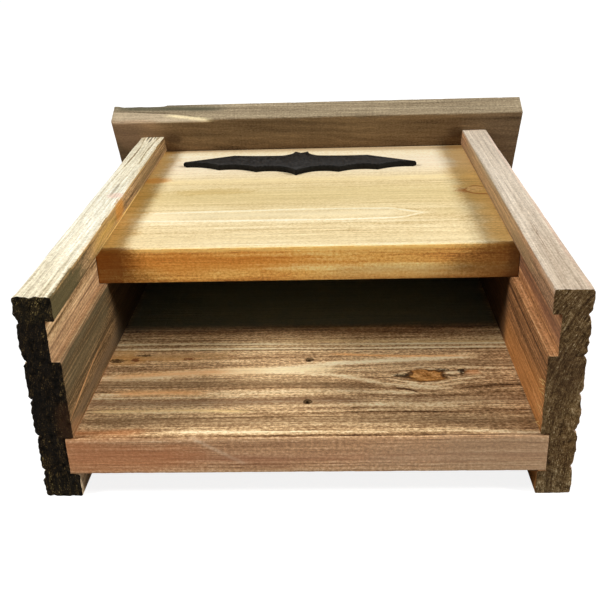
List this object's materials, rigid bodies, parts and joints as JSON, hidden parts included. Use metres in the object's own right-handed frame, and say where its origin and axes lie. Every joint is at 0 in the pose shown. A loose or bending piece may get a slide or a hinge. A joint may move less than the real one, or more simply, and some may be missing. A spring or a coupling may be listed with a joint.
{
  "type": "bat box",
  "caption": "Open-bottomed timber bat box: ribbed side boards, back and front panels housed between them, a sloping roof and a bat silhouette on the front.",
  "frame": {"origin": "on the surface that the box lies on, under the middle of its whole outline; it lies on the rear edges of its side boards, as in the picture", "axes": "+Z out of the front, away from the wall; +Y from the open lower end towards the roof, so +Y points up when the box hangs; +X to the right, seen from the front with the roof up"},
  "size_m": [0.415, 0.4953, 0.1789],
  "materials": {
    "left_side_timber": "rough-sawn softwood with a grey-brown stain",
    "right_side_timber": "rough-sawn softwood with a brown stain",
    "back_timber": "planed softwood with a weathered brown stain",
    "front_timber": "planed softwood, pale cream",
    "roof_timber": "planed softwood with a grey-brown stain",
    "black_paint": "thin board painted matt black",
    "nail_steel": "dull galvanised"
  },
  "bodies": {
    "root": {"left_side_board": "left_side_timber", "right_side_board": "right_side_timber", "back_lower_board": "back_timber", "back_upper_board": "back_timber", "front_panel": "front_timber", "roof_board": "roof_timber", "bat_plaque": "black_paint", "plaque_pins": "black_paint", "side_nails_back_left": "nail_steel", "side_nails_back_right": "nail_steel", "side_nails_front_left": "nail_steel", "side_nails_front_right": "nail_steel", "roof_nails_left": "nail_steel", "roof_nails_right": "nail_steel", "roof_nails_back": "nail_steel"}
  },
  "joints": []
}
